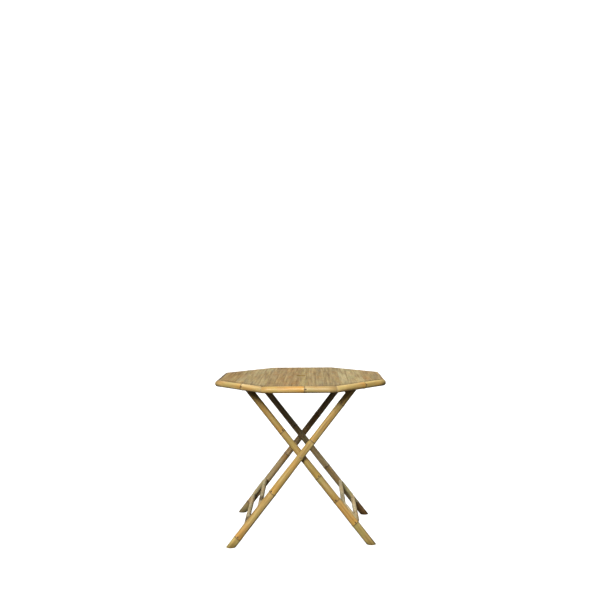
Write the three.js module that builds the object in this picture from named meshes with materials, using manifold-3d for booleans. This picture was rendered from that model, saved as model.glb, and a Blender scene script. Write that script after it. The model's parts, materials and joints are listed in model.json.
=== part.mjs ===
// Folding bamboo picnic table: an octagonal slatted top on two crossing leg frames.
// Millimetres, +Z up. The origin is on the floor under the middle of the table, -Y is the front.
// The outer leg frame has its feet on the left (-X), the inner one has them on the right.

import * as THREE from 'three';
import { mergeVertices } from 'three/addons/utils/BufferGeometryUtils.js';
import Module from 'manifold-3d';

const wasm = await Module();
wasm.setup();

// ---- driving dimensions ----
const TOP_HEIGHT = 740;        // floor to the slats' upper face
const TOP_ACROSS = 787;        // octagon, flat to flat, over the rim poles
const RIM_RADIUS = 14.5;
const SLAT_COUNT = 20;
const SLAT_THICKNESS = 8;
const SLAT_GAP = 0.8;
const UMBRELLA_HOLE_RADIUS = 22.5;
const COLLAR_RADIUS = 46;
const COLLAR_THICKNESS = 11;
const BATTEN_Y = 120;
const BATTEN_WIDTH = 30;
const BATTEN_DEPTH = 24;

const PIVOT_HEIGHT = 405;
const LEG_LEAN = THREE.MathUtils.degToRad(38);   // from the vertical
const LEG_RADIUS = 15.8;
const OUTER_LEG_Y = 241.2;
const INNER_LEG_Y = 205.6;
const LEG_OVER_RAIL = 32;      // leg end above the rail's axis

const RAIL_RADIUS = 13;
const RAIL_UNDER_BATTEN = 0.5;
const TENON_RADIUS = 7;
const TENON_IN_LEG = 8;        // tenon end beyond the leg's own axis
const PIN_RADIUS = 5;
const RUNNING_FIT = 0.06;
const STEP = 0.3;              // gap between pieces that touch

const RING_RADIUS = 10.5;
const RING_UPPER = -300;       // along the leg from the pivot
const RING_LOWER = -400;
const RING_OFFSET = 11;        // towards the upper side of the sloping leg
const RING_TO_LEG = 1;

const NODE_RIDGE = 0.7;
const ROUND = 24;

// ---- derived dimensions ----
const apothem = TOP_ACROSS / 2 - RIM_RADIUS;
const rimZ = TOP_HEIGHT - RIM_RADIUS - NODE_RIDGE - 0.1;
const slatZ = TOP_HEIGHT - SLAT_THICKNESS;
const slatReach = apothem - RIM_RADIUS + 1;      // the slats lie over the rim's inner shoulder
const battenReach = apothem - RIM_RADIUS - 0.5;
const battenTop = slatZ - STEP;
const battenUnder = battenTop - BATTEN_DEPTH;
const railZ = battenUnder - RAIL_UNDER_BATTEN - RAIL_RADIUS;
const railAlongLeg = (railZ - PIVOT_HEIGHT) / Math.cos(LEG_LEAN);
const railX = railAlongLeg * Math.sin(LEG_LEAN);
const legTop = railAlongLeg + LEG_OVER_RAIL;
const legFoot = -PIVOT_HEIGHT / Math.cos(LEG_LEAN);
const footSlope = Math.tan(LEG_LEAN);
const ringToLegAxis = LEG_RADIUS + RING_RADIUS + RING_TO_LEG;
const ringStandOff = Math.sqrt(ringToLegAxis ** 2 - RING_OFFSET ** 2);

// ---- materials ----
const bamboo = (color, roughness = 0.5) =>
  new THREE.MeshStandardMaterial({ color, roughness, metalness: 0 });
const MATERIALS = {
  rim: bamboo(0xd2ad5e, 0.42),
  slat: bamboo(0xb3a078, 0.6),
  leg: bamboo(0xc09a55, 0.42),
  cane: bamboo(0xb6a277, 0.5),
  frame: bamboo(0x8a7048, 0.62),
  pin: bamboo(0xa98a52, 0.55),
};

// ---- solids ----
const toSolid = (geometry) => {
  const bare = geometry.clone();
  bare.deleteAttribute('normal');
  bare.deleteAttribute('uv');
  const merged = mergeVertices(bare, 1e-3);
  return new wasm.Manifold(new wasm.Mesh({
    numProp: 3,
    vertProperties: new Float32Array(merged.attributes.position.array),
    triVerts: new Uint32Array(merged.index.array),
  }));
};

const toGeometry = (solid) => {
  const { vertProperties, triVerts } = solid.getMesh();
  const geometry = new THREE.BufferGeometry();
  geometry.setAttribute('position', new THREE.BufferAttribute(vertProperties, 3));
  geometry.setIndex(new THREE.BufferAttribute(triVerts, 1));
  geometry.computeVertexNormals();
  return geometry;
};

// A round pole along its own Y axis. Its ends can be cut at a slope: a cut of slope s
// makes the pole longer by s for each millimetre out along its own X axis.
const pole = (from, to, radius, { startSlope = 0, endSlope = 0, nodes = [] } = {}) => {
  const profile = [new THREE.Vector2(0, from), new THREE.Vector2(radius, from)];
  for (const at of [...nodes].sort((a, b) => a - b)) {
    profile.push(new THREE.Vector2(radius, at - 3.5));
    profile.push(new THREE.Vector2(radius + NODE_RIDGE, at - 1));
    profile.push(new THREE.Vector2(radius + NODE_RIDGE, at + 1));
    profile.push(new THREE.Vector2(radius, at + 3.5));
  }
  profile.push(new THREE.Vector2(radius, to), new THREE.Vector2(0, to));
  const geometry = new THREE.LatheGeometry(profile, ROUND);
  const position = geometry.attributes.position;
  for (let i = 0; i < position.count; i += 1) {
    const y = position.getY(i);
    if (Math.abs(y - from) < 1e-3) position.setY(i, y + startSlope * position.getX(i));
    if (Math.abs(y - to) < 1e-3) position.setY(i, y + endSlope * position.getX(i));
  }
  geometry.computeVertexNormals();
  return geometry;
};

// Drills run along Y through a leg that stands along Z.
const drill = (geometry, holes) => {
  let solid = toSolid(geometry);
  for (const { z, radius, y0, y1 } of holes) {
    const bit = new THREE.CylinderGeometry(radius, radius, Math.abs(y1 - y0), 32);
    bit.translate(0, (y0 + y1) / 2, z);
    solid = solid.subtract(toSolid(bit));
  }
  return toGeometry(solid);
};

const ring = (inner, outer, thickness) => {
  const half = thickness / 2;
  return new THREE.LatheGeometry([
    new THREE.Vector2(inner, -half),
    new THREE.Vector2(outer, -half),
    new THREE.Vector2(outer, half),
    new THREE.Vector2(inner, half),
    new THREE.Vector2(inner, -half),
  ], 32);
};

const add = (group, name, geometry, material, x = 0, y = 0, z = 0) => {
  const mesh = new THREE.Mesh(geometry, material);
  mesh.name = name;
  mesh.position.set(x, y, z);
  group.add(mesh);
  return mesh;
};

// ---- table top ----
const addRim = (top) => {
  const half = apothem * Math.tan(Math.PI / 8) - STEP / 2;
  const slope = Math.tan(Math.PI / 8);
  for (let i = 0; i < 8; i += 1) {
    const side = new THREE.Group();
    side.rotation.z = i * Math.PI / 4;
    top.add(side);
    const geometry = pole(-half, half, RIM_RADIUS, {
      startSlope: -slope, endSlope: slope, nodes: [22],
    });
    geometry.rotateZ(-Math.PI / 2);
    add(side, `rim_pole_${i + 1}`, geometry, MATERIALS.rim, 0, -apothem, rimZ);
  }
};

const slatOutline = (x0, x1) => {
  const corner = slatReach * Math.tan(Math.PI / 8);
  const reach = (x) => Math.min(slatReach, slatReach * Math.SQRT2 - Math.abs(x));
  const xs = [x0, x1];
  if (x0 < -corner && x1 > -corner) xs.splice(1, 0, -corner);
  if (x0 < corner && x1 > corner) xs.splice(1, 0, corner);
  const points = xs.map((x) => new THREE.Vector2(x, -reach(x)));
  const notch = [];
  const inner = Math.min(Math.abs(x0), Math.abs(x1));
  if (inner < UMBRELLA_HOLE_RADIUS) {
    const sign = Math.sign(x0 + x1);
    const open = Math.acos(inner / UMBRELLA_HOLE_RADIUS);
    for (let i = 0; i <= 16; i += 1) {
      const angle = open * (1 - i / 8);
      notch.push(new THREE.Vector2(
        sign * UMBRELLA_HOLE_RADIUS * Math.cos(angle),
        sign * UMBRELLA_HOLE_RADIUS * Math.sin(angle)));
    }
  }
  if (x0 + x1 < 0) points.push(...notch);
  points.push(...xs.reverse().map((x) => new THREE.Vector2(x, reach(x))));
  if (x0 + x1 > 0) points.push(...notch);
  return new THREE.Shape(points);
};

const addSlats = (top) => {
  const pitch = 2 * slatReach / SLAT_COUNT;
  for (let i = 0; i < SLAT_COUNT; i += 1) {
    const x0 = -slatReach + i * pitch + SLAT_GAP / 2;
    const geometry = new THREE.ExtrudeGeometry(slatOutline(x0, x0 + pitch - SLAT_GAP), {
      depth: SLAT_THICKNESS, bevelEnabled: false,
    });
    const name = `slat_${String(i + 1).padStart(2, '0')}`;
    add(top, name, geometry, MATERIALS.slat, 0, 0, slatZ);
  }
};

const saddleShape = () => {
  const wall = 8;
  const bore = RAIL_RADIUS + RUNNING_FIT + 0.04;
  const out = bore + wall;
  const rise = battenUnder - STEP - railZ;
  const shape = new THREE.Shape();
  shape.moveTo(-out, rise);
  shape.lineTo(-out, -out + 6);
  shape.lineTo(-out + 6, -out);
  shape.lineTo(out - 6, -out);
  shape.lineTo(out, -out + 6);
  shape.lineTo(out, rise);
  shape.lineTo(bore, rise);
  for (let i = 0; i <= 24; i += 1) {
    const angle = -Math.PI * i / 24;
    shape.lineTo(bore * Math.cos(angle), bore * Math.sin(angle));
  }
  shape.lineTo(-bore, rise);
  shape.closePath();
  return shape;
};

const addUnderside = (top) => {
  for (const [side, name] of [[-1, 'front'], [1, 'back']]) {
    const y = side * BATTEN_Y;
    const batten = new THREE.BoxGeometry(2 * battenReach, BATTEN_WIDTH, BATTEN_DEPTH);
    add(top, `batten_${name}`, batten, MATERIALS.frame, 0, y, battenTop - BATTEN_DEPTH / 2);

    const saddle = new THREE.ExtrudeGeometry(saddleShape(), {
      depth: BATTEN_WIDTH, bevelEnabled: false,
    });
    saddle.rotateX(Math.PI / 2);
    saddle.translate(0, BATTEN_WIDTH / 2, 0);
    add(top, `hinge_saddle_${name}`, saddle, MATERIALS.frame, railX, y, railZ);

    const stop = new THREE.BoxGeometry(22, BATTEN_WIDTH - 4, 20);
    const stopX = -(railX + RAIL_RADIUS + 0.8 + 11);
    add(top, `rail_stop_${name}`, stop, MATERIALS.frame, stopX, y, battenUnder - STEP - 10);
  }
  const collar = ring(UMBRELLA_HOLE_RADIUS, COLLAR_RADIUS, COLLAR_THICKNESS);
  collar.rotateX(Math.PI / 2);
  add(top, 'umbrella_collar', collar, MATERIALS.frame,
    0, 0, slatZ - STEP - COLLAR_THICKNESS / 2);
};

// ---- rails between the legs ----
const rail = (legY) => {
  const shoulder = legY - LEG_RADIUS - STEP;
  const end = legY + TENON_IN_LEG;
  return new THREE.LatheGeometry([
    new THREE.Vector2(0, -end),
    new THREE.Vector2(TENON_RADIUS, -end),
    new THREE.Vector2(TENON_RADIUS, -shoulder),
    new THREE.Vector2(RAIL_RADIUS, -shoulder),
    new THREE.Vector2(RAIL_RADIUS, shoulder),
    new THREE.Vector2(TENON_RADIUS, shoulder),
    new THREE.Vector2(TENON_RADIUS, end),
    new THREE.Vector2(0, end),
  ], 32);
};

// ---- leg frames, each laid out with its legs along Z and its pivot at the origin ----
const addLegs = (frame, prefix, legY, slope, nodes) => {
  for (const [side, name] of [[-1, 'front'], [1, 'back']]) {
    const stick = pole(legFoot, legTop, LEG_RADIUS, { startSlope: slope, nodes: nodes[name] });
    stick.rotateX(Math.PI / 2);
    const geometry = drill(stick, [
      { z: 0, radius: PIN_RADIUS + RUNNING_FIT, y0: -30, y1: 30 },
      {
        z: railAlongLeg,
        radius: TENON_RADIUS + RUNNING_FIT,
        y0: -side * 30,
        y1: side * (TENON_IN_LEG + 0.5),
      },
    ]);
    add(frame, `${prefix}_leg_${name}`, geometry, MATERIALS.leg, 0, side * legY, 0);
  }
};

const addStretcher = (frame, prefix, legY, offset) => {
  const sideY = legY - ringStandOff;
  const halfRung = sideY - STEP / 2;
  for (const [z, turn, name] of [[RING_UPPER, -1, 'upper'], [RING_LOWER, 1, 'lower']]) {
    const rung = pole(-halfRung, halfRung, RING_RADIUS, { startSlope: -1, endSlope: 1 });
    rung.rotateY(turn * Math.PI / 2);
    add(frame, `${prefix}_rung_${name}`, rung, MATERIALS.cane, offset, 0, z);
  }
  const halfSide = (RING_UPPER - RING_LOWER) / 2 - STEP / 2;
  for (const [side, name] of [[-1, 'front'], [1, 'back']]) {
    const piece = pole(-halfSide, halfSide, RING_RADIUS, { startSlope: -1, endSlope: 1 });
    piece.rotateY(side * Math.PI / 2);
    piece.rotateX(Math.PI / 2);
    add(frame, `${prefix}_stretcher_${name}`, piece, MATERIALS.cane,
      offset, side * sideY, (RING_UPPER + RING_LOWER) / 2);
  }
};

const addPivots = (frame) => {
  const between = (OUTER_LEG_Y - INNER_LEG_Y) - 2 * LEG_RADIUS - 2 * STEP;
  const pinOuter = OUTER_LEG_Y + LEG_RADIUS - 0.9;
  const collarThickness = 6;
  const collarY = INNER_LEG_Y - LEG_RADIUS - STEP - collarThickness / 2;
  const pinInner = collarY - collarThickness / 2 - 1.5;
  for (const [side, name] of [[-1, 'front'], [1, 'back']]) {
    const pin = pole(-(pinOuter - pinInner) / 2, (pinOuter - pinInner) / 2, PIN_RADIUS);
    add(frame, `pivot_pin_${name}`, pin, MATERIALS.pin, 0, side * (pinOuter + pinInner) / 2, 0);
    add(frame, `pivot_spacer_${name}`, ring(PIN_RADIUS + RUNNING_FIT, 10.5, between),
      MATERIALS.pin, 0, side * (OUTER_LEG_Y + INNER_LEG_Y) / 2, 0);
    add(frame, `pivot_collar_${name}`, ring(PIN_RADIUS + RUNNING_FIT, 9, collarThickness),
      MATERIALS.pin, 0, side * collarY, 0);
  }
};

// ---- assembly ----
const table = new THREE.Group();

const top = new THREE.Group();
addRim(top);
addSlats(top);
addUnderside(top);
table.add(top);

add(table, 'hinge_rail', rail(OUTER_LEG_Y), MATERIALS.frame, railX, 0, railZ);

const outerFrame = new THREE.Group();
outerFrame.position.z = PIVOT_HEIGHT;
outerFrame.rotation.y = LEG_LEAN;
addLegs(outerFrame, 'outer', OUTER_LEG_Y, footSlope, {
  front: [-461, -206, 89, 300],
  back: [-455, -132, 130],
});
addStretcher(outerFrame, 'outer', OUTER_LEG_Y, -RING_OFFSET);
addPivots(outerFrame);
table.add(outerFrame);

const innerFrame = new THREE.Group();
innerFrame.position.z = PIVOT_HEIGHT;
innerFrame.rotation.y = -LEG_LEAN;
addLegs(innerFrame, 'inner', INNER_LEG_Y, -footSlope, {
  front: [-440, -129, 134],
  back: [-445, -203, 62, 290],
});
addStretcher(innerFrame, 'inner', INNER_LEG_Y, RING_OFFSET);
add(innerFrame, 'inner_rail', rail(INNER_LEG_Y), MATERIALS.frame, 0, 0, railAlongLeg);
table.add(innerFrame);

export default table;
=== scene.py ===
"""Looks of a folding bamboo picnic table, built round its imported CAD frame.

Metres, +Z up, -Y the front. The origin is on the floor under the middle of the table."""

import json
import math
import random

import bmesh
import bpy
import numpy as np
from mathutils import Matrix, Vector

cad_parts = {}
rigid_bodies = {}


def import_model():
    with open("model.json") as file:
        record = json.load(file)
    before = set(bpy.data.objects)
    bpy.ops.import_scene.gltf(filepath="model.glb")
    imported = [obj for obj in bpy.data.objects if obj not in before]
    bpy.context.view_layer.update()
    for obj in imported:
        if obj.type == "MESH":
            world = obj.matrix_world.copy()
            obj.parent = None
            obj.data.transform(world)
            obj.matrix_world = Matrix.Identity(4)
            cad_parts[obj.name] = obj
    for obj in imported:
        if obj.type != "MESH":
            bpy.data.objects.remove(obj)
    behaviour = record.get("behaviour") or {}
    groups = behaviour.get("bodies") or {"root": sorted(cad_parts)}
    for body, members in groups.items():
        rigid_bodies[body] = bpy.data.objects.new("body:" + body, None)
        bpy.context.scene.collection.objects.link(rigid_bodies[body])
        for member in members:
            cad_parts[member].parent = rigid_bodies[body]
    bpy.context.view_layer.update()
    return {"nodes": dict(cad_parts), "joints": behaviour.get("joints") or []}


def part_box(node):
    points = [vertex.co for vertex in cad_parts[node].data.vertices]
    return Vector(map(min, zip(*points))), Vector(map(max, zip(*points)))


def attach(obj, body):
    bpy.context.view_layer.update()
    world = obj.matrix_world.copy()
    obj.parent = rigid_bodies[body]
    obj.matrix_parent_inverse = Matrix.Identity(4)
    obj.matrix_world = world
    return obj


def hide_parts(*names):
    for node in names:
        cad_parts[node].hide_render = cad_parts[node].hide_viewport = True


for old in list(bpy.data.objects):
    bpy.data.objects.remove(old)

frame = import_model()

# ---- the frame's own measures ----
JOINTS = {j["name"]: j for j in frame["joints"]}
PIVOT = Vector(JOINTS["leg_fold"]["pos_m"])
HINGE = Vector(JOINTS["rail_turn"]["pos_m"])
LEAN = math.atan2(HINGE.x - PIVOT.x, HINGE.z - PIVOT.z)
NODE_RIDGE = 0.0007


def half_size(node, axis):
    low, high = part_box(node)
    return (high[axis] - low[axis]) / 2


LEG_RADIUS = half_size("outer_leg_front", 1) - NODE_RIDGE
LEG_FOOT = -PIVOT.z / math.cos(LEAN)     # places along a leg are counted up from the pivot
LEG_TOP = math.hypot(HINGE.x - PIVOT.x, HINGE.z - PIVOT.z) + 0.032
RIM_RADIUS = half_size("rim_pole_1", 2) - NODE_RIDGE
RIM_LOW, RIM_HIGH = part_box("rim_pole_1")
RIM_Z = (RIM_LOW.z + RIM_HIGH.z) / 2
RIM_APOTHEM = NODE_RIDGE + RIM_RADIUS - RIM_HIGH.y
SLAT_COUNT = 20
SLAT_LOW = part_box("slat_01")[0].z
TOP_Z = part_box("slat_01")[1].z
SLAT_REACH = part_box("slat_10")[1].y
RING_RADIUS = half_size("outer_rung_upper", 2)

# ---- sizes that the frame's boxes don't show ----
TOUCH = 0.0003                           # gap between pieces that touch
HOLE_RADIUS = 0.0225
RAIL_RADIUS = 0.013
TENON_RADIUS = 0.007
PIN_RADIUS = 0.005
PIN_BORE = 0.00506
RING_UPPER = -0.300
RING_LOWER = -0.400

# ---- camera ----
CAMERA_PLACE = (0.0672, -3.143, 1.1142)
CAMERA_YAW = 0.0217
CAMERA_PITCH = 0.0023
CAMERA_ROLL = -0.0090
CAMERA_LENS = 38.87


def add_camera():
    data = bpy.data.cameras.new("camera")
    data.sensor_width = 36.0
    data.lens = CAMERA_LENS
    data.clip_end = 200
    camera = bpy.data.objects.new("camera", data)
    bpy.context.scene.collection.objects.link(camera)
    turn = (Matrix.Rotation(CAMERA_YAW, 4, "Z")
            @ Matrix.Rotation(math.pi / 2 - CAMERA_PITCH, 4, "X")
            @ Matrix.Rotation(CAMERA_ROLL, 4, "Z"))
    camera.matrix_world = Matrix.Translation(CAMERA_PLACE) @ turn
    bpy.context.scene.camera = camera


add_camera()


# ---- shader graphs ----
class Graph:
    """A material with a Principled shader, and short calls for the nodes that feed it."""

    def __init__(self, name, **sockets):
        self.material = bpy.data.materials.new(name)
        self.material.use_nodes = True
        self.tree = self.material.node_tree
        self.tree.nodes.clear()
        output = self.tree.nodes.new("ShaderNodeOutputMaterial")
        self.shader = self.tree.nodes.new("ShaderNodeBsdfPrincipled")
        self.tree.links.new(self.shader.outputs[0], output.inputs["Surface"])
        for socket, value in sockets.items():
            self.shader.inputs[socket.replace("_", " ")].default_value = value

    def feed(self, socket, value):
        if isinstance(value, bpy.types.NodeSocket):
            self.tree.links.new(value, socket)
        else:
            socket.default_value = value

    def node(self, kind, inputs=None, **settings):
        made = self.tree.nodes.new(kind)
        for key, value in settings.items():
            setattr(made, key, value)
        for key, value in (inputs or {}).items():
            self.feed(made.inputs[key], value)
        return made

    def attribute(self, name, output="Vector"):
        return self.node("ShaderNodeAttribute", attribute_name=name).outputs[output]

    def scaled(self, vector, scale):
        made = self.node("ShaderNodeVectorMath", {0: vector, 1: scale}, operation="MULTIPLY")
        return made.outputs[0]

    def noise(self, vector, scale, detail=3.0, roughness=0.55):
        made = self.node("ShaderNodeTexNoise", {
            "Vector": vector, "Scale": scale, "Detail": detail, "Roughness": roughness})
        return made.outputs["Fac"]

    def ramp(self, factor, stops):
        made = self.node("ShaderNodeValToRGB", {"Fac": factor})
        elements = made.color_ramp.elements
        while len(elements) < len(stops):
            elements.new(0.5)
        for element, (at, colour) in zip(elements, stops):
            element.position = at
            element.color = (*colour, 1.0)
        return made.outputs["Color"]

    def span(self, factor, low, high, start=0.0, end=1.0):
        made = self.node("ShaderNodeMapRange", {
            "Value": factor, "From Min": low, "From Max": high, "To Min": start, "To Max": end})
        return made.outputs[0]

    def mix(self, factor, first, second, blend="MIX"):
        """Mixes two colours, which go into the node's sockets 6 and 7."""
        made = self.node("ShaderNodeMix", data_type="RGBA", blend_type=blend)
        self.feed(made.inputs[0], factor)
        for index, colour in ((6, first), (7, second)):
            linked = isinstance(colour, bpy.types.NodeSocket)
            self.feed(made.inputs[index], colour if linked else (*colour, 1))
        return made.outputs[2]

    def math(self, operation, first, second=0.0):
        return self.node("ShaderNodeMath", {0: first, 1: second}, operation=operation).outputs[0]

    def bump(self, height, strength, distance):
        made = self.node("ShaderNodeBump", {
            "Height": height, "Strength": strength, "Distance": distance})
        self.feed(self.shader.inputs["Normal"], made.outputs[0])


WEATHERED = (0.33, 0.31, 0.20)
FRECKLE = (0.10, 0.055, 0.02)
# the colour of node grooves, also used for painted shadows on the rungs
GROOVE_AND_SHADE = (0.075, 0.040, 0.018)


def bamboo(name, dark, base, light, stain, rough=(0.34, 0.52), coat=0.15, grey=0.0, gloss=0.4,
           streak=0.42):
    """Bamboo skin: fibres along the pole, broad bands, blotches, freckles, dark node grooves, and
    painted shade where the mesh marks it.
    """
    g = Graph(name, Coat_Weight=coat, Coat_Roughness=0.25, Specular_IOR_Level=gloss)
    grain = g.attribute("grain")
    band = g.noise(g.scaled(grain, (1, 1, 0.05)), 95, 3)
    fibre = g.noise(g.scaled(grain, (1, 1, 0.012)), 1500, 3, 0.7)
    blotch = g.noise(g.scaled(grain, (1, 1, 0.4)), 34, 5, 0.6)
    colour = g.ramp(band, [(0.32, dark), (0.50, base), (0.70, light)])
    drift = g.noise(g.scaled(grain, (1, 1, 0.5)), 19, 2)
    ochre = (base[0] * 1.08, base[1] * 0.84, base[2] * 0.60)
    green = (base[0] * 0.86, base[1] * 1.04, base[2] * 1.02)
    colour = g.mix(g.span(drift, 0.54, 0.68, 0.0, 0.60), colour, ochre)
    colour = g.mix(g.span(drift, 0.46, 0.33, 0.0, 0.60), colour, green)
    colour = g.mix(g.span(fibre, 0.42, 0.70, 0.0, streak), colour, dark)
    colour = g.mix(g.span(blotch, 0.56, 0.78, 0.0, 0.55), colour, stain)
    if grey:
        weather = g.noise(g.scaled(grain, (1, 1, 0.12)), 60, 4, 0.65)
        colour = g.mix(g.span(weather, 0.38, 0.72, 0.0, grey), colour, WEATHERED)
    freckle = g.noise(g.scaled(grain, (1, 1, 0.45)), 520, 2, 0.5)
    colour = g.mix(g.span(freckle, 0.69, 0.76, 0.0, 0.6), colour, FRECKLE)
    colour = g.mix(1.0, colour, g.attribute("tint", "Color"), "MULTIPLY")
    # dark node grooves and cut edges, together with painted shade such as the front leg's shadow on
    # the rungs
    groove_and_shade = g.attribute("groove_and_shade", "Fac")
    ragged = g.noise(g.scaled(grain, (1, 1, 1)), 260, 3)
    edge = g.math("MULTIPLY", groove_and_shade, g.span(ragged, 0.3, 0.6, 0.55, 1.0))
    colour = g.mix(edge, colour, GROOVE_AND_SHADE)
    g.feed(g.shader.inputs["Base Color"], colour)
    worn = g.math("ADD", g.span(fibre, 0.3, 0.7, *rough), g.span(edge, 0.0, 1.0, 0.0, 0.25))
    g.feed(g.shader.inputs["Roughness"], worn)
    g.bump(g.math("ADD", fibre, g.math("MULTIPLY", blotch, 0.6)), 0.22, 0.0004)
    return g.material


def cut_end(name, pale, dark):
    """The sawn end of a bamboo wall: pale pith peppered with dark fibre bundles, with painted shade
    deep in a hollow end.
    """
    g = Graph(name, Specular_IOR_Level=0.25)
    grain = g.attribute("grain")
    bundles = g.node("ShaderNodeTexVoronoi", {
        "Vector": g.scaled(grain, (1, 1, 0.2)), "Scale": 900.0}).outputs["Distance"]
    soot = g.noise(grain, 120, 4)
    colour = g.ramp(bundles, [(0.12, dark), (0.42, pale)])
    colour = g.mix(g.span(soot, 0.45, 0.75, 0.0, 0.6), colour, dark)
    # darkens the cut edges a little, and paints shade into a hollow bore, near black towards its
    # bottom
    colour = g.mix(g.attribute("groove_and_shade", "Fac"), colour, (0.045, 0.028, 0.014))
    g.feed(g.shader.inputs["Base Color"], colour)
    g.feed(g.shader.inputs["Roughness"], g.span(soot, 0.3, 0.7, 0.65, 0.85))
    g.bump(bundles, 0.4, 0.0004)
    return g.material


def plain_wood(name, dark, light, along=None):
    """Sawn wood: growth bands and pores along one of the object's axes, or along its stored grain."""
    g = Graph(name, Specular_IOR_Level=0.3)
    if along is None:
        place = g.attribute("grain")
        long_way = (1, 1, 0.06)
    else:
        place = g.node("ShaderNodeTexCoord").outputs["Object"]
        long_way = tuple(0.06 if i == along else 1.0 for i in range(3))
    band = g.noise(g.scaled(place, long_way), 120, 4, 0.6)
    pore = g.noise(g.scaled(place, tuple(v * (0.4 if v < 1 else 1) for v in long_way)), 1300, 2)
    patch = g.noise(place, 22, 3)
    colour = g.ramp(band, [(0.34, dark), (0.66, light)])
    colour = g.mix(g.span(pore, 0.55, 0.75, 0.0, 0.55), colour, tuple(c * 0.4 for c in dark))
    colour = g.mix(g.span(patch, 0.5, 0.8, 0.0, 0.4), colour, tuple(c * 0.7 for c in dark))
    g.feed(g.shader.inputs["Base Color"], colour)
    g.feed(g.shader.inputs["Roughness"], g.span(pore, 0.3, 0.7, 0.5, 0.72))
    g.bump(g.math("ADD", band, pore), 0.3, 0.0004)
    return g.material


def nail_metal():
    g = Graph("nail_steel", Metallic=1.0)
    rust = g.noise(g.node("ShaderNodeTexCoord").outputs["Object"], 700, 3)
    g.feed(g.shader.inputs["Base Color"],
           g.ramp(rust, [(0.40, (0.22, 0.20, 0.18)), (0.62, (0.16, 0.08, 0.04))]))
    g.feed(g.shader.inputs["Roughness"], g.span(rust, 0.3, 0.7, 0.35, 0.7))
    return g.material


MAT = {
    "leg": bamboo("leg_bamboo_skin", (0.31, 0.185, 0.055), (0.52, 0.345, 0.105),
                  (0.68, 0.50, 0.20), (0.29, 0.165, 0.05), coat=0.08),
    "rim": bamboo("rim_bamboo_skin", (0.40, 0.24, 0.078), (0.64, 0.43, 0.155),
                  (0.78, 0.60, 0.28), (0.42, 0.25, 0.07), coat=0.08),
    "cane": bamboo("stretcher_bamboo_skin", (0.27, 0.20, 0.10), (0.45, 0.36, 0.19),
                   (0.60, 0.51, 0.31), (0.24, 0.17, 0.08), rough=(0.55, 0.72), coat=0.0,
                   gloss=0.28),
    "slat": bamboo("slat_bamboo", (0.19, 0.115, 0.035), (0.355, 0.235, 0.074),
                   (0.50, 0.37, 0.145), (0.18, 0.100, 0.034), rough=(0.60, 0.82), coat=0.0,
                   grey=0.26, gloss=0.22, streak=0.60),
    "cut": cut_end("bamboo_cut_end", (0.58, 0.46, 0.27), (0.20, 0.12, 0.055)),
    "batten": plain_wood("batten_wood", (0.20, 0.135, 0.07), (0.36, 0.26, 0.145)),
    "block": plain_wood("block_wood", (0.19, 0.125, 0.065), (0.34, 0.24, 0.13), along=1),
    "pin": plain_wood("pin_wood", (0.26, 0.175, 0.08), (0.44, 0.32, 0.16)),
    "nail": nail_metal(),
}


# ---- mesh building ----
def make_object(name, verts, faces, face_mats, mats, grain=None, tint=None, groove_and_shade=None):
    mesh = bpy.data.meshes.new(name)
    mesh.from_pydata([tuple(v) for v in verts], [], faces)
    for material in mats:
        mesh.materials.append(MAT[material])
    mesh.polygons.foreach_set("material_index", face_mats)
    mesh.polygons.foreach_set("use_smooth", [True] * len(faces))
    for key, kind, field, data in (("grain", "FLOAT_VECTOR", "vector", grain),
                                   ("tint", "FLOAT_COLOR", "color", tint),
                                   ("groove_and_shade", "FLOAT", "value", groove_and_shade)):
        if data is not None:
            made = mesh.attributes.new(key, kind, "POINT")
            made.data.foreach_set(field, np.asarray(data, np.float32).ravel())
    mesh.update()
    obj = bpy.data.objects.new(name, mesh)
    bpy.context.scene.collection.objects.link(obj)
    return obj


class Skin:
    """Rings of points joined into a closed surface, with what the shaders read at each point."""

    def __init__(self):
        self.verts, self.grain, self.tint, self.groove_and_shade = [], [], [], []
        self.faces, self.face_mats = [], []

    def point(self, co, grain, tint, groove_and_shade):
        self.verts.append(tuple(co))
        self.grain.append(tuple(grain))
        self.tint.append((*tint, 1.0))
        self.groove_and_shade.append(groove_and_shade)
        return len(self.verts) - 1

    def bridge(self, first, second, material):
        count = max(len(first), len(second))
        for i in range(count):
            j = (i + 1) % count
            if len(first) == 1:
                face = (first[0], second[j], second[i])
            elif len(second) == 1:
                face = (first[i], first[j], second[0])
            else:
                face = (first[i], first[j], second[j], second[i])
            self.faces.append(face)
            self.face_mats.append(material)

    def blob(self, centre, normal, along, size, tint, grain_z):
        """A low oval bump, such as a branch scar."""
        side = normal.cross(along).normalized()
        around, levels, sunk = 10, 3, 0.0012
        rings = []
        for level in range(levels):
            angle = math.pi / 2 * level / levels
            ring = []
            for i in range(around):
                turn = 2 * math.pi * i / around
                p = (centre + side * (size[0] * math.cos(turn) * math.cos(angle))
                     + along * (size[1] * math.sin(turn) * math.cos(angle))
                     + normal * (size[2] * math.sin(angle) - sunk * (level == 0)))
                ring.append(self.point(p, (p.x, p.y, grain_z), tint, 0.55))
            rings.append(ring)
        tip = [self.point(centre + normal * size[2], (0, 0, grain_z), tint, 1.0)]
        base = [self.point(centre - normal * sunk, (0, 0, grain_z), tint, 1.0)]
        self.bridge(base, rings[0], 0)
        for first, second in zip(rings, rings[1:] + [tip]):
            self.bridge(first, second, 0)

    def build(self, name, mats):
        return make_object(name, self.verts, self.faces, self.face_mats, mats,
                           self.grain, self.tint, self.groove_and_shade)


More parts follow.
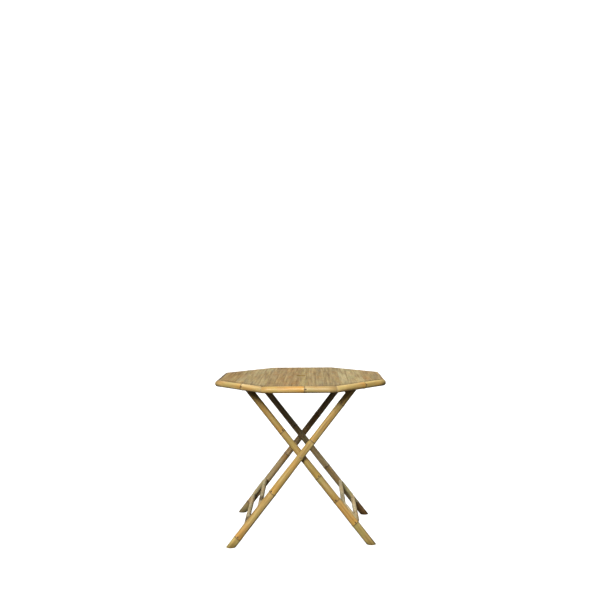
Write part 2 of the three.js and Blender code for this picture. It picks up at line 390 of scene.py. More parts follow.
# how a node stands out: millimetres along the pole, millimetres of height, darkness
NODE = ((-45, 0, 0), (-30, 0, 0), (-20, 0, 0), (-12, 0, 0), (-7, 0.10, 0), (-3, 0.34, 0.04),
        (-1.3, 0.72, 0.30), (-0.4, 0.80, 0.75),
        (0.5, 0.22, 1.0), (1.5, 0.14, 0.85), (2.7, 0.46, 0.40), (4.3, 0.58, 0.18),
        (6.6, 0.32, 0.06), (11, 0.08, 0), (16, 0, 0), (24, 0, 0))
NODE_CLEAR = 0.05                        # no plain station lies nearer to a node than this


def node_stations(length, nodes, first, last, spacing=0.03):
    """(place, extra radius, groove) along a pole, close together at the nodes."""
    out = {}
    for at, way in nodes:
        for along, height, dark in NODE:
            place = at + way * along * 0.001
            if first < place < last:
                out[round(place, 6)] = (height * 0.001, dark)
    count = max(2, int(length / spacing))
    for i in range(1, count):
        place = length * i / count
        if first < place < last and all(abs(place - at) > NODE_CLEAR for at, _ in nodes):
            out.setdefault(round(place, 6), (0.0, 0.0))
    return [(place, *out[place]) for place in sorted(out)]


def tone_at(place, nodes, tones):
    """The internode's tint, paler just beyond a node and warmer just before it."""
    tone = tones[sum(place > at for at, _ in nodes)]
    pale = warm = 0.0
    for at, way in nodes:
        beyond = (place - at) * way
        if beyond > 0.001:
            pale = max(pale, math.exp(-((beyond - 0.009) / 0.009) ** 2))
        elif beyond < -0.002:
            warm = max(warm, math.exp(-((beyond + 0.012) / 0.022) ** 2))
    return tuple(c * (1 + p * pale) * (1 + w * warm)
                 for c, p, w in zip(tone, (0.10, 0.14, 0.24), (0.06, -0.03, -0.22)))


def random_tones(rng, count, spread=0.10, warm=0.04):
    tones = []
    for _ in range(count):
        level = 1.0 + rng.uniform(-spread, spread)
        hue = rng.uniform(-warm, warm)
        tones.append((level * (1 + hue), level, level * (1 - 1.6 * hue)))
    return tones


SWELL_RUN = 0.14
CHAMFER = 0.0007
HOLLOW = 0.62                            # a culm's inner radius, as a share of its own
WAIST = 0.012                            # how much thinner it is between nodes
WAIST_RUN = 0.08
END_CLEAR = 0.004
SCAR_BEYOND = 0.006
SCAR_SIZE = (0.0034, 0.0052, 0.0011)
SCAR_TINT = (0.30, 0.22, 0.16)


def culm(name, start, end, radius, seed, nodes=(), start_cut=None, end_cut=None,
         hollow=False, tones=None, scars=(), material="leg", sides=36, swell=0.0, swell_end=0.0):
    """A bamboo pole from start to end. Its ends are cut by planes with the given normals.

    It grows thicker towards its start by the share swell, over SWELL_RUN before swell_end."""
    rng = random.Random(seed)
    axis = (end - start).normalized()
    length = (end - start).length
    across = axis.cross(Vector((0.0, 1.0, 0.0)))
    if across.length < 0.2:
        across = axis.cross(Vector((0.0, 0.0, 1.0)))
    across.normalize()
    up = across.cross(axis).normalized()
    nodes = sorted(nodes)
    tones = tones or random_tones(rng, len(nodes) + 1)
    shift = rng.uniform(1, 90)
    oval_turn = rng.uniform(0, 2 * math.pi)
    oval = rng.uniform(0.0, 0.008)
    skin = Skin()

    def fat(place):
        rise = min(1.0, max(0.0, (swell_end - place) / SWELL_RUN))
        return 1 + swell * rise * rise * (3 - 2 * rise)

    def slide(radial, normal):
        return 0.0 if normal is None else -radial.dot(normal) / axis.dot(normal)

    def ring(place, r, tint, groove_and_shade, normal=None, back=0.0):
        made = []
        middle = start + axis * place
        for i in range(sides):
            turn = 2 * math.pi * i / sides
            rr = r * fat(place) * (1 - oval * (0.5 + 0.5 * math.cos(2 * turn + oval_turn)))
            radial = across * (rr * math.cos(turn)) + up * (rr * math.sin(turn))
            co = middle + radial + axis * (slide(radial, normal) + back)
            grain = (radial.dot(across) + shift, radial.dot(up) + shift * 0.7, place + shift * 3)
            made.append(skin.point(co, grain, tint, groove_and_shade))
        return made

    def cap(place, normal, inward, tint):
        """Rings from the skin in to the middle of an end, and their material."""
        wall = radius * HOLLOW
        made = [(ring(place, radius, tint, 0.25, normal, inward * CHAMFER), 0),
                (ring(place, radius - CHAMFER, tint, 0.1, normal), 1)]
        if hollow:
            made.append((ring(place, wall + CHAMFER, tint, 0.0, normal), 1))
            made.append((ring(place, wall, tint, 0.3, normal, inward * CHAMFER), 1))
            # painted shade: the bore's wall darkens towards its bottom, to near black at the middle
            deep = place + inward * (0.012 + 0.9 * radius)
            made.append((ring(deep, wall * 0.96, tint, 0.9), 1))
            made.append(([skin.point(start + axis * deep, (shift, shift, 0), tint, 1.0)], 1))
        else:
            made.append((ring(place, radius * 0.5, tint, 0.0, normal), 1))
            made.append(([skin.point(start + axis * place, (shift, shift, 0), tint, 0.0)], 1))
        return made

    def margin(normal):
        if normal is None:
            return END_CLEAR
        lean = abs(axis.dot(normal.normalized()))
        return END_CLEAR + radius * (1 + swell) * math.sqrt(max(0.0, 1 - lean * lean)) / lean

    first = cap(0.0, start_cut, 1, tones[0])
    last = cap(length, end_cut, -1, tones[-1])
    between = []
    low, high = margin(start_cut), length - margin(end_cut)
    marks = [0.0] + [at for at, _ in nodes] + [length]
    for place, extra, groove_and_shade in node_stations(length, nodes, low, high):
        near = min(abs(place - mark) for mark in marks)
        waist = WAIST * radius * min(1.0, near / WAIST_RUN)
        tint = tone_at(place, nodes, tones)
        between.append(ring(place, radius + extra - waist, tint, groove_and_shade))
    strip = [r for r, _ in reversed(first)] + between + [r for r, _ in last]
    kinds = [1] * (len(first) - 1) + [0] * (len(between) + 1) + [1] * (len(last) - 1)
    for one, two, kind in zip(strip, strip[1:], kinds):
        skin.bridge(two, one, kind)
    for at, direction in scars:
        facing = Vector(direction)
        facing = (facing - axis * facing.dot(axis)).normalized()
        middle = start + axis * (at + SCAR_BEYOND) + facing * (radius * fat(at) + 0.0001)
        skin.blob(middle, facing, axis, SCAR_SIZE, SCAR_TINT, at)
    return skin.build(name, [material, "cut"])


BEND_STEPS = 8
BEND_CREASE = 0.85                       # darkness of the crease inside a bend
TONE_RUN = 0.12                          # a cane's own shade changes after each such length


def bent_ring(name, corners, radius, bend, seed, nodes, leg_shadows, tints, sides=28):
    """A cane bent into a closed four-cornered ring, with a dark crease inside each bend and painted
    shadows of the front leg on stretches of its rungs.
    """
    rng = random.Random(seed)
    plane = (corners[1] - corners[0]).cross(corners[2] - corners[1]).normalized()
    shift = rng.uniform(1, 90)
    stations = []
    run = 0.0
    for i, corner in enumerate(corners):
        before, after = corners[i - 1], corners[(i + 1) % 4]
        into = (corner - before).normalized()
        out = (after - corner).normalized()
        centre = corner - into * bend + out * bend
        for k in range(BEND_STEPS + 1):
            turn = math.pi / 2 * k / BEND_STEPS
            place = centre + into * (bend * math.sin(turn)) - out * (bend * math.cos(turn))
            heading = into * math.cos(turn) + out * math.sin(turn)
            pinch = 1.0 - 0.10 * math.sin(2 * turn) ** 2
            stations.append((place, heading, radius * pinch, 0.0, k == BEND_STEPS // 2, run,
                             tints[i - 1 if k < BEND_STEPS // 2 else i]))
            run += bend * math.pi / 2 / BEND_STEPS
        straight = (after - corner).length - 2 * bend
        begin = corner + out * bend
        mine = [(at, 1) for side, at in nodes if side == i]
        shadow_spans = [(at, half) for side, at, half in leg_shadows if side == i]
        for at, extra, groove_and_shade in node_stations(straight, mine, 0.003, straight - 0.003, 0.01):
            for shadow_middle, half in shadow_spans:
                # painted shadow of the front leg, darkening this stretch of the rung
                groove_and_shade = max(groove_and_shade, 0.96 * (1 - ((at - shadow_middle) / half) ** 4))
            stations.append((begin + out * at, out, radius + extra * 0.8, groove_and_shade, False,
                             run + at, tints[i]))
        run += straight
    skin = Skin()
    tones = random_tones(rng, 12, 0.08)
    middle = sum(corners, Vector()) / 4
    rings = []
    for place, heading, r, groove_and_shade, creased, at, side_tint in stations:
        side = heading.cross(plane).normalized()
        inward = 1 if side.dot(middle - place) > 0 else -1
        ring = []
        tint = tuple(c * k for c, k in zip(tones[int(at / TONE_RUN) % len(tones)], side_tint))
        for i in range(sides):
            turn = 2 * math.pi * i / sides
            radial = side * (r * math.cos(turn)) + plane * (r * math.sin(turn))
            grain = (r * math.cos(turn) + shift, r * math.sin(turn) + shift * 0.7, at + shift * 3)
            dark = BEND_CREASE * max(0.0, inward * math.cos(turn)) if creased else groove_and_shade
            ring.append(skin.point(place + radial, grain, tint, dark))
        rings.append(ring)
    for one, two in zip(rings, rings[1:] + rings[:1]):
        skin.bridge(two, one, 0)
    return skin.build(name, ["cane"])


def board(name, low, high, material, bevel, seed):
    """A sawn board with softened edges. Its grain runs along its longest side."""
    bm = bmesh.new()
    bmesh.ops.create_cube(bm, size=1.0)
    size = high - low
    for v in bm.verts:
        v.co = (low + high) / 2 + Vector((v.co.x * size.x, v.co.y * size.y, v.co.z * size.z))
    long_way = max(range(3), key=lambda i: size[i])
    cuts = [e for e in bm.edges
            if abs((e.verts[0].co - e.verts[1].co)[long_way]) > 0.9 * size[long_way]]
    bmesh.ops.subdivide_edges(bm, edges=cuts, cuts=max(1, int(size[long_way] / 0.06)))
    sharp = [e for e in bm.edges if len(e.link_faces) == 2 and e.calc_face_angle() > 1.0]
    bmesh.ops.bevel(bm, geom=sharp, offset=bevel, segments=3, affect="EDGES", profile=0.6)
    others = [i for i in range(3) if i != long_way]
    rng = random.Random(seed)
    shift = rng.uniform(1, 60)
    verts = [v.co.copy() for v in bm.verts]
    for i, v in enumerate(bm.verts):
        v.index = i
    faces = [tuple(v.index for v in f.verts) for f in bm.faces]
    bm.free()
    grain = [(v[others[0]] + shift, v[others[1]] + shift, v[long_way]) for v in verts]
    obj = make_object(name, verts, faces, [0] * len(faces), [material], grain,
                      [(1, 1, 1, 1)] * len(verts), [0.0] * len(verts))
    soften(obj)
    return obj


def soften(obj, angle=0.6):
    bpy.context.view_layer.objects.active = obj
    obj.select_set(True)
    bpy.ops.object.shade_smooth_by_angle(angle=angle)
    obj.select_set(False)


def assign(obj, body, slot, *nodes):
    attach(obj, body)
    if nodes:
        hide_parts(*nodes)


# ---- the rim: eight mitred poles ----
# tint of each pole before and after its node, from the front one on, anticlockwise from above
RIM_TINTS = (
    ((1.08, 0.98, 0.78), (0.90, 0.91, 0.92)),
    ((1.16, 1.13, 1.05), (1.14, 1.22, 1.06)),
    ((0.66, 0.66, 0.70), (0.80, 0.80, 0.80)),
    ((0.70, 0.72, 0.70), (0.80, 0.80, 0.72)),
    ((0.72, 0.72, 0.66), (0.66, 0.70, 0.66)),
    ((0.74, 0.72, 0.66), (0.66, 0.68, 0.66)),
    ((0.33, 0.33, 0.42), (0.29, 0.30, 0.39)),
    ((0.98, 0.97, 0.92), (1.02, 1.02, 1.02)),
)
FRONT_POLES = (0, 1, 7)
FRONT_NODE = 0.022                       # their node's place, from the pole's middle


def add_rim():
    mitre = math.pi / 8
    half = RIM_APOTHEM * math.tan(mitre) - TOUCH / 2
    for k, tints in enumerate(RIM_TINTS):
        turn = k * math.pi / 4
        out = Vector((math.sin(turn), -math.cos(turn), 0))
        along = Vector((math.cos(turn), math.sin(turn), 0))
        middle = out * RIM_APOTHEM + Vector((0, 0, RIM_Z))
        start_cut = along * math.cos(mitre) + out * math.sin(mitre)
        end_cut = along * math.cos(mitre) - out * math.sin(mitre)
        rng = random.Random(900 + k)
        at = half + (FRONT_NODE if k in FRONT_POLES else rng.uniform(-0.05, 0.05))
        pole = culm(f"rim_culm_{k + 1}", middle - along * half, middle + along * half, RIM_RADIUS,
                    40 + k, [(at, 1)], start_cut, end_cut, tones=tints,
                    scars=[(at, out + Vector((0, 0, 0.25)))], material="rim")
        assign(pole, "top", "rim_bamboo", f"rim_pole_{k + 1}")


# ---- the slats ----
# how a slat's node stands out: millimetres along it, millimetres of height, darkness
SLAT_NODE = ((-7, 0, 0), (-2.4, 0.16, 0.08), (-0.8, 0.30, 0.30), (0.1, -0.02, 0.52),
             (0.9, 0.20, 0.28), (3.0, 0.10, 0.08), (8, 0, 0))
# tint of the slats, left to right: the last slat of each area, then the tint
SLAT_AREAS = ((2, (1.00, 0.93, 0.84)), (6, (1.00, 1.05, 1.15)), (10, (1.00, 0.95, 0.94)),
              (11, (1.05, 1.07, 1.01)), (15, (1.08, 1.09, 1.16)), (18, (1.15, 1.26, 1.48)),
              (20, (1.06, 1.03, 1.05)))
SLAT_WIDER = 0.00037                     # on each side, so that no light shows between slats
SLAT_CROWN = 0.0004
SLAT_OVER = 0.0075                       # the most that an end goes out over the rim
SLAT_OFF_RIM = 0.0004
SLAT_EDGE = 0.0010                       # how far the rounding of a long edge goes
SLAT_CLEAR = 0.012                       # from an end to the first station, and round a node


def slat_reach(x):
    return min(SLAT_REACH, SLAT_REACH * math.sqrt(2) - abs(x))


def over_shoulder(z):
    """How far the end of a slat goes out over the rim's round shoulder at height z."""
    rise = min(z - RIM_Z, RIM_RADIUS)
    shoulder = RIM_APOTHEM - math.sqrt(RIM_RADIUS ** 2 - rise ** 2)
    return min(SLAT_OVER, shoulder - SLAT_OFF_RIM - SLAT_REACH)


def slat_section(index, left, right):
    """A slat's outline across it, counted from its middle: the underside, then back over the top."""
    middle = (left + right) / 2
    half = (right - left) / 2 + SLAT_WIDER
    flat = TOP_Z - 0.0002
    edge = [(half, TOP_Z - SLAT_EDGE), (half - 0.0003, TOP_Z - 0.0005), (half - SLAT_EDGE, flat)]
    section = [(half * t, SLAT_LOW) for t in (-1, -0.3, 0.3, 1)] + edge
    section += [(half * t, flat + SLAT_CROWN * (1 - t * t))
                for t in (0.75, 0.5, 0.25, 0.0, -0.25, -0.5, -0.75)]
    section += [(-x, z) for x, z in reversed(edge)]
    corner = math.copysign(SLAT_REACH * math.tan(math.pi / 8), middle)
    if left < corner < right:
        nearest = min(abs(x + middle - corner) for x, _ in section)
        section = [(corner - middle, z) if abs(x + middle - corner) == nearest else (x, z)
                   for x, z in section]
    if index in (1, SLAT_COUNT):
        side = math.copysign(1, middle)
        outer = SLAT_REACH - abs(middle)
        section = [(side * (outer + over_shoulder(z) - (half - abs(x))), z)
                   if x * side > half - 1.1 * SLAT_EDGE else (x, z) for x, z in section]
    return section


def slat_stations(nodes, short):
    """Height and darkness at places along a slat. Its ends stand at infinity, cut back later."""
    stations = {round(-short + 2 * short * i / 8, 5): (0.0, 0.0) for i in range(9)}
    for at in nodes:
        stations = {k: v for k, v in stations.items() if abs(k - at) > SLAT_CLEAR}
        for along, height, dark in SLAT_NODE:
            if abs(at + along * 0.001) < short:
                stations[round(at + along * 0.001, 5)] = (height * 0.001, dark)
    return {-math.inf: (0.0, 0.25), **stations, math.inf: (0.0, 0.25)}


def add_slat(index):
    node = f"slat_{index:02d}"
    low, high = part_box(node)
    middle = (low.x + high.x) / 2
    rng = random.Random(300 + index)
    short = min(slat_reach(low.x), slat_reach(high.x)) - SLAT_CLEAR
    nodes = []
    at = -short + rng.uniform(0.02, 0.24)
    while at < short:
        nodes.append(at)
        at += rng.uniform(0.22, 0.34)
    tones = random_tones(rng, len(nodes) + 1, 0.07, 0.03)
    area = next(tint for last, tint in SLAT_AREAS if index <= last)
    slat_tone = 1.0 + rng.uniform(-0.08, 0.08)
    shift = rng.uniform(1, 90)
    section = slat_section(index, low.x, high.x)
    stations = slat_stations(nodes, short)
    skin = Skin()
    rows = []
    for y in sorted(stations):
        extra, dark = stations[y]
        tone = tones[sum(y > n for n in nodes)]
        tint = tuple(c * slat_tone * k for c, k in zip(tone, area))
        row = []
        for x, z in section:
            reach = slat_reach(x + middle)
            end = reach + over_shoulder(z) * (1.0 if reach == SLAT_REACH else math.sqrt(2))
            yy = max(-end, min(end, y))
            on_top = z > TOP_Z - SLAT_EDGE
            row.append(skin.point((x + middle, yy, z + extra if on_top else z),
                                  (x + shift, z, yy + shift * 2), tint, dark if on_top else 0.0))
        rows.append(row)
    for one, two in zip(rows, rows[1:]):
        skin.bridge(one, two, 0)
    skin.faces.append(tuple(rows[0]))
    skin.faces.append(tuple(reversed(rows[-1])))
    skin.face_mats += [1, 1]
    obj = skin.build(f"slat_strip_{index:02d}", ["slat", "cut"])
    fix_normals(obj)
    if low.x < HOLE_RADIUS and high.x > -HOLE_RADIUS:
        cut_hole(obj)
    soften(obj, 0.7)
    assign(obj, "top", "slat_bamboo", node)


def fix_normals(obj):
    bm = bmesh.new()
    bm.from_mesh(obj.data)
    bmesh.ops.recalc_face_normals(bm, faces=bm.faces)
    bm.to_mesh(obj.data)
    bm.free()


def cut_hole(obj):
    """Cuts the round parasol hole out of a slat beside it."""
    bm = bmesh.new()
    bmesh.ops.create_cone(bm, cap_ends=True, segments=72, radius1=HOLE_RADIUS,
                          radius2=HOLE_RADIUS, depth=0.1)
    mesh = bpy.data.meshes.new("cutter")
    bm.to_mesh(mesh)
    bm.free()
    cutter = bpy.data.objects.new("cutter", mesh)
    cutter.location = (0, 0, TOP_Z)
    bpy.context.scene.collection.objects.link(cutter)
    tool = obj.modifiers.new("hole", "BOOLEAN")
    tool.operation = "DIFFERENCE"
    tool.solver = "EXACT"
    tool.object = cutter
    bpy.context.view_layer.objects.active = obj
    bpy.ops.object.modifier_apply(modifier="hole")
    bpy.data.objects.remove(cutter)


# a nail's head: radius, height over the slats
NAIL_HEAD = ((0.0017, -0.0012), (0.0019, 0.0001), (0.0014, 0.00035))
NAIL_TIP = 0.00045
NAIL_SIDES = 10
NAIL_FROM_MIDDLE = 0.009


def add_nail(verts, faces, x, y):
    base = len(verts)
    for r, rise in NAIL_HEAD:
        for i in range(NAIL_SIDES):
            turn = 2 * math.pi * i / NAIL_SIDES
            verts.append((x + r * math.cos(turn), y + r * math.sin(turn), TOP_Z + rise))
    tip = len(verts)
    verts.append((x, y, TOP_Z + NAIL_TIP))
    verts.append((x, y, TOP_Z + NAIL_HEAD[0][1]))
    for i in range(NAIL_SIDES):
        j = (i + 1) % NAIL_SIDES
        for row in (base, base + NAIL_SIDES):
            faces.append((row + i, row + j, row + NAIL_SIDES + j, row + NAIL_SIDES + i))
        faces.append((tip - NAIL_SIDES + i, tip - NAIL_SIDES + j, tip))
        faces.append((base + j, base + i, tip + 1))


def add_nails():
    """Two nail heads where each slat crosses a batten."""
    battens = [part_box(node) for node in ("batten_front", "batten_back")]
    verts, faces = [], []
    for index in range(1, SLAT_COUNT + 1):
        low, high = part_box(f"slat_{index:02d}")
        rng = random.Random(600 + index)
        for batten_low, batten_high in battens:
            for side in (-1, 1):
                x = (low.x + high.x) / 2 + side * NAIL_FROM_MIDDLE + rng.uniform(-0.0012, 0.0012)
                y = (batten_low.y + batten_high.y) / 2 + rng.uniform(-0.004, 0.004)
                add_nail(verts, faces, x, y)
    obj = make_object("slat_nails", verts, faces, [0] * len(faces), ["nail"])
    assign(obj, "top", "underframe_wood")


# ---- legs ----
def leg_axis(side):
    """Direction up an outer (+1) or inner (-1) leg, and the way its sloping upper face looks."""
    up = Vector((side * math.sin(LEAN), 0, math.cos(LEAN)))
    out = Vector((-side * math.cos(LEAN), 0, math.sin(LEAN)))
    return up, out


LEG_NODES = {
    "outer_leg_front": (-0.461, -0.206, 0.089, 0.300),
    "outer_leg_back": (-0.455, -0.132, 0.130),
    "inner_leg_front": (-0.395, -0.262, -0.129, 0.134),
    "inner_leg_back": (-0.445, -0.203, 0.062, 0.290),
}
# tint of each internode, from the foot up. The back legs' tints are darker and greyer as painted shade
# under the top, and their feet are darker still
LEG_TINTS = {
    "outer_leg_front": ((0.94, 1.03, 0.98), (1.04, 1.00, 0.98), (1.0, 1.0, 0.92),
                        (1.02, 1.0, 0.95), (1.02, 1.0, 0.95)),
    "outer_leg_back": ((0.45, 0.54, 0.82), (0.62, 0.68, 1.00), (0.66, 0.72, 1.05),
                       (0.74, 0.80, 1.2)),
    "inner_leg_front": ((0.90, 0.95, 0.94), (1.06, 0.95, 0.84), (0.86, 0.86, 0.84),
                        (0.90, 0.88, 0.86), (0.86, 0.86, 0.84)),
    "inner_leg_back": ((0.30, 0.25, 0.25), (0.60, 0.66, 0.96), (0.66, 0.72, 1.05),
                       (0.74, 0.80, 1.2), (0.74, 0.80, 1.2)),
}
# how much thicker each leg is towards its foot, and where that begins
LEG_SWELL = {"outer_leg_front": 0.10, "outer_leg_back": 0.06, "inner_leg_front": 0.09,
             "inner_leg_back": 0.05}
LEG_SWELL_TOP = -0.015


def add_legs():
    floor_cut = Vector((0, 0, 1))
    for i, (node, nodes) in enumerate(LEG_NODES.items()):
        side = 1 if node.startswith("outer") else -1
        low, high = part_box(node)
        up, _ = leg_axis(side)
        pivot = Vector((PIVOT.x, (low.y + high.y) / 2, PIVOT.z))
        rng = random.Random(70 + i)
        tones = [tuple(c * k for c, k in zip(tone, tint))
                 for tone, tint in zip(random_tones(rng, len(nodes) + 1, 0.06, 0.03), LEG_TINTS[node])]
        way = 1 if i % 2 else -1
        scars = [(at - LEG_FOOT, (rng.uniform(-0.9, 0.9), -1 if rng.random() < 0.7 else 1, 0.2))
                 for at in nodes]
        pole = culm(f"{node}_culm", pivot + up * LEG_FOOT, pivot + up * LEG_TOP, LEG_RADIUS, 10 + i,
                    [(at - LEG_FOOT, way) for at in nodes], start_cut=floor_cut, hollow=True,
                    tones=tones, scars=scars, sides=40, swell=LEG_SWELL[node],
                    swell_end=LEG_SWELL_TOP - LEG_FOOT)
        body = "outer_frame" if side > 0 else "inner_frame"
        assign(pole, body, "leg_bamboo", node)


# ---- stretcher rings ----
# how far a ring's middle lies out from the legs' axis, at the back and at the front
RING_OFFSET = 0.011
RING_FRONT_OFFSET = {"outer": 0.004, "inner": 0.011}
RING_BEND = 0.0145
# nodes of a ring: its side (upper rung, back, lower rung, front) and the place along it
RING_NODES = {
    "outer": ((0, 0.16), (0, 0.29), (2, 0.15), (2, 0.30)),
    "inner": ((0, 0.07), (0, 0.29), (2, 0.030), (2, 0.25)),
}
# stretches of the rungs with a painted shadow of the front leg across them: side, middle and half
# length
RING_LEG_SHADOWS = {"outer": ((0, 0.082, 0.042), (2, 0.372, 0.028)), "inner": ()}
RING_TINTS = {
    "outer": ((0.98, 1.00, 0.98), (0.90, 0.92, 0.88), (1.02, 1.02, 1.00), (0.95, 0.95, 0.92)),
    "inner": ((1.04, 1.05, 1.02), (0.98, 1.04, 0.92), (1.22, 1.20, 1.16), (1.34, 1.36, 1.42)),
}


def add_stretchers():
    for side, prefix, seed in ((1, "outer", 21), (-1, "inner", 22)):
        up, out = leg_axis(side)
        low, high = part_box(f"{prefix}_stretcher_back")
        reach = (low.y + high.y) / 2
        front = PIVOT + out * RING_FRONT_OFFSET[prefix] + Vector((0, -reach, 0))
        back = PIVOT + out * RING_OFFSET + Vector((0, reach, 0))
        corners = [front + up * RING_UPPER, back + up * RING_UPPER,
                   back + up * RING_LOWER, front + up * RING_LOWER]
        ring = bent_ring(f"{prefix}_stretcher_ring", corners, RING_RADIUS, RING_BEND, seed,
                         RING_NODES[prefix], RING_LEG_SHADOWS[prefix], RING_TINTS[prefix])
        assign(ring, f"{prefix}_frame", "stretcher_bamboo", f"{prefix}_rung_upper",
               f"{prefix}_rung_lower", f"{prefix}_stretcher_front", f"{prefix}_stretcher_back")


# ---- rails, pins and pegs ----
def turned(name, origin, axis, profile, material, body, slot, nodes=(), sides=32, tint=(1, 1, 1)):
    """A round piece turned about an axis. The profile is (place along the axis, radius)."""
    origin, axis = Vector(origin), Vector(axis).normalized()
    across = axis.orthogonal().normalized()
    other = axis.cross(across)
    skin = Skin()
    rings = []
    for at, r in profile:
        count = 1 if r == 0 else sides
        ring = []
        for i in range(count):
            turn = 2 * math.pi * i / sides
            radial = across * (r * math.cos(turn)) + other * (r * math.sin(turn))
            grain = (radial.dot(across), radial.dot(other), at)
            ring.append(skin.point(origin + axis * at + radial, grain, tint, 0.0))
        rings.append(ring)
    pairs = list(zip(rings, rings[1:]))
    if profile[0][1] != 0:
        pairs.append((rings[-1], rings[0]))
    for one, two in pairs:
        skin.bridge(two, one, 0)
    obj = skin.build(name, [material])
    fix_normals(obj)
    soften(obj)
    assign(obj, body, slot, *nodes)


RAIL_NODES = (0.55, 1.45)                # from one end, as shares of half the rail
TENON_IN_RAIL = 0.004
TENON_CHAMFER = 0.001


def add_rails():
    for node, body, seed, leg_node in (("hinge_rail", "hinge_rail", 31, "outer_leg_back"),
                                       ("inner_rail", "inner_frame", 32, "inner_leg_back")):
        low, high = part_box(node)
        centre = (low + high) / 2
        leg_low, leg_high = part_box(leg_node)
        shoulder = (leg_low.y + leg_high.y) / 2 - LEG_RADIUS - TOUCH
        across = Vector((0, 1, 0))
        pole = culm(f"{node}_culm", centre - across * shoulder, centre + across * shoulder,
                    RAIL_RADIUS, seed, [(shoulder * share, 1) for share in RAIL_NODES],
                    scars=[(shoulder * RAIL_NODES[0], (0.3, 0, -1))])
        assign(pole, body, "underframe_wood", node)
        for side, word in ((-1, "front"), (1, "back")):
            turned(f"{node}_tenon_{word}", centre, across * side,
                   [(shoulder - TENON_IN_RAIL, 0), (shoulder - TENON_IN_RAIL, TENON_RADIUS),
                    (high.y - TENON_CHAMFER, TENON_RADIUS),
                    (high.y, TENON_RADIUS - TENON_CHAMFER), (high.y, 0)],
                   "pin", body, "underframe_wood")


SPACER_RADIUS = 0.0105
COLLAR_RADIUS = 0.009
PIVOT_ROUNDING = 0.0006


def add_pivots():
    pivot = (PIVOT.x, 0, PIVOT.z)
    for side, word in ((-1, "front"), (1, "back")):
        axis = Vector((0, side, 0))
        face = max(abs(corner.y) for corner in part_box(f"outer_leg_{word}")) - NODE_RIDGE
        inner_end = min(abs(corner.y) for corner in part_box(f"pivot_pin_{word}"))
        turned(f"pivot_pin_{word}_peg", pivot, axis,
               [(inner_end, 0), (inner_end, PIN_RADIUS - 0.0008), (inner_end + 0.0008, PIN_RADIUS),
                (face - 0.0002, PIN_RADIUS), (face + 0.0004, PIN_RADIUS - 0.0006),
                (face + 0.0006, 0)],
               "pin", "outer_frame", "pivot_wood", [f"pivot_pin_{word}"])
        for kind, outer in (("spacer", SPACER_RADIUS), ("collar", COLLAR_RADIUS)):
            node = f"pivot_{kind}_{word}"
            near, far = sorted(abs(corner.y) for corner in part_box(node))
            turned(f"{node}_ring", pivot, axis,
                   [(near, PIN_BORE), (near, outer - PIVOT_ROUNDING),
                    (near + PIVOT_ROUNDING, outer), (far - PIVOT_ROUNDING, outer),
                    (far, outer - PIVOT_ROUNDING), (far, PIN_BORE)],
                   "pin", "outer_frame", "pivot_wood", [node], 36, (0.8, 0.8, 0.8))


PEG_PLACES = (("upper", -0.318), ("lower", -0.382))
PEG_RADIUS = 0.0026
# distance from the leg's middle, radius
PEG_PROFILE = [(0.010, 0), (0.010, PEG_RADIUS), (0.0146, PEG_RADIUS),
               (0.0151, PEG_RADIUS - 0.0005), (0.01525, 0)]


def add_pegs():
    """Small pegs through the legs' outer sides that hold the stretchers."""
    for prefix, side in (("outer", 1), ("inner", -1)):
        up, _ = leg_axis(side)
        for face, word in ((-1, "front"), (1, "back")):
            low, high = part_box(f"{prefix}_leg_{word}")
            middle = Vector((PIVOT.x, (low.y + high.y) / 2, PIVOT.z))
            for label, at in PEG_PLACES:
                turned(f"{prefix}_peg_{word}_{label}", middle + up * at, Vector((0, face, 0)),
                       PEG_PROFILE, "pin", f"{prefix}_frame", "pivot_wood", (), 14)


# ---- underside ----
def add_underside():
    for i, word in enumerate(("front", "back")):
        node = f"batten_{word}"
        low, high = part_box(node)
        obj = board(f"{node}_board", low, high, "batten", 0.0018, 50 + i)
        assign(obj, "top", "underframe_wood", node)
        for kind in ("hinge_saddle", "rail_stop"):
            finish_cad(f"{kind}_{word}", "block", 0.0014)
    finish_cad("umbrella_collar", "block", 0.0012)


def finish_cad(node, material, bevel):
    """Softens the edges of a carried-over solid and gives it a material."""
    obj = frame["nodes"][node]
    obj.data.materials.clear()
    obj.data.materials.append(MAT[material])
    edge = obj.modifiers.new("softened edges", "BEVEL")
    edge.width = bevel
    edge.segments = 2
    edge.limit_method = "ANGLE"
    edge.angle_limit = 0.8


# ---- stage and light ----
FLOOR_RADIUS = 28
FLOOR_DROP = 0.0005                      # the floor lies this far under the feet
BACKDROP_RADIUS = 30


def stage_material(name, colour, glow):
    g = Graph(name, Base_Color=(*colour, 1.0), Roughness=0.9, Specular_IOR_Level=0.0,
              Emission_Color=(1, 1, 1, 1), Emission_Strength=glow)
    return g.material


def see_through_from_below(material):
    """Makes the back of a face clear, so that the floor doesn't hide the underside."""
    tree = material.node_tree
    output = next(n for n in tree.nodes if n.type == "OUTPUT_MATERIAL")
    surface = output.inputs["Surface"].links[0].from_socket
    side = tree.nodes.new("ShaderNodeNewGeometry").outputs["Backfacing"]
    clear = tree.nodes.new("ShaderNodeBsdfTransparent").outputs[0]
    both = tree.nodes.new("ShaderNodeMixShader")
    for socket, value in zip(both.inputs, (side, surface, clear)):
        tree.links.new(value, socket)
    tree.links.new(both.outputs[0], output.inputs["Surface"])


def add_stage_piece(name, bm, material):
    mesh = bpy.data.meshes.new(name)
    bm.to_mesh(mesh)
    bm.free()
    mesh.materials.append(material)
    obj = bpy.data.objects.new(name, mesh)
    bpy.context.scene.collection.objects.link(obj)
    obj.visible_diffuse = False
    obj.visible_glossy = False
    obj.visible_transmission = False
    return obj


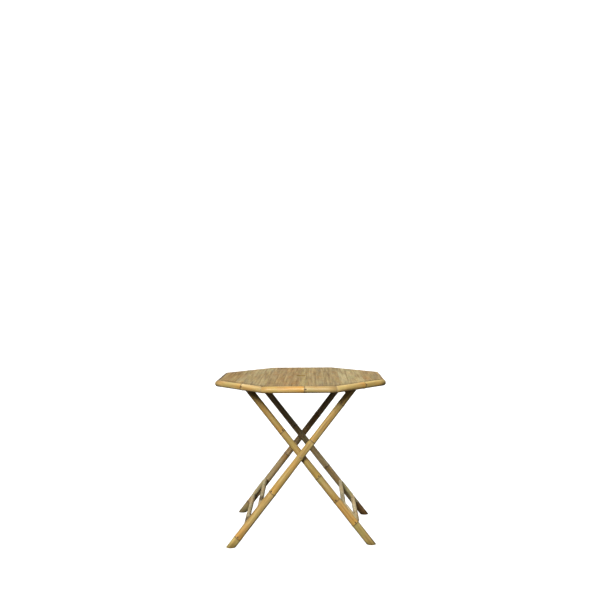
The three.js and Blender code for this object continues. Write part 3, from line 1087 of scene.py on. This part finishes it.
def add_stage():
    bm = bmesh.new()
    bmesh.ops.create_circle(bm, cap_ends=True, segments=96, radius=FLOOR_RADIUS)
    white = stage_material("floor_white", (0.30, 0.30, 0.30), 1.0)
    see_through_from_below(white)
    floor = add_stage_piece("floor", bm, white)
    floor.location.z = -FLOOR_DROP
    bm = bmesh.new()
    bmesh.ops.create_uvsphere(bm, u_segments=64, v_segments=32, radius=BACKDROP_RADIUS)
    dome = add_stage_piece("backdrop", bm, stage_material("backdrop_white", (0, 0, 0), 1.1))
    dome.visible_shadow = False


def add_sun(name, azimuth, elevation, strength, angle, glossy=True):
    """A soft sun. Its place and its width are in degrees, and azimuth 0 is the front."""
    data = bpy.data.lights.new(name, "SUN")
    data.energy = strength
    data.angle = math.radians(angle)
    light = bpy.data.objects.new(name, data)
    light.visible_glossy = glossy
    a, e = math.radians(azimuth), math.radians(elevation)
    toward = Vector((math.sin(a) * math.cos(e), -math.cos(a) * math.cos(e), math.sin(e)))
    light.rotation_mode = "QUATERNION"
    light.rotation_quaternion = toward.to_track_quat("Z", "Y")
    bpy.context.scene.collection.objects.link(light)


def add_world():
    """Soft light from overhead, falling away to the horizon."""
    world = bpy.data.worlds.new("studio")
    bpy.context.scene.world = world
    world.use_nodes = True
    tree = world.node_tree
    tree.nodes.clear()
    output = tree.nodes.new("ShaderNodeOutputWorld")
    background = tree.nodes.new("ShaderNodeBackground")
    coordinate = tree.nodes.new("ShaderNodeTexCoord")
    split = tree.nodes.new("ShaderNodeSeparateXYZ")
    ramp = tree.nodes.new("ShaderNodeValToRGB")
    tree.links.new(coordinate.outputs["Generated"], split.inputs[0])
    tree.links.new(split.outputs["Z"], ramp.inputs[0])
    stops = ramp.color_ramp.elements
    stops[0].position, stops[0].color = 0.0, (0.058, 0.056, 0.054, 1)
    stops[1].position, stops[1].color = 0.95, (0.75, 0.75, 0.75, 1)
    tree.links.new(ramp.outputs[0], background.inputs["Color"])
    background.inputs["Strength"].default_value = 1.0
    tree.links.new(background.outputs[0], output.inputs["Surface"])


add_rim()
for slat_index in range(1, SLAT_COUNT + 1):
    add_slat(slat_index)
add_nails()
add_legs()
add_stretchers()
add_rails()
add_pivots()
add_pegs()
add_underside()
add_stage()
add_sun("key", azimuth=-16, elevation=31, strength=3.15, angle=20)
add_sun("back", azimuth=183, elevation=24, strength=1.7, angle=60, glossy=False)
add_world()
bpy.context.scene.view_settings.view_transform = "Standard"
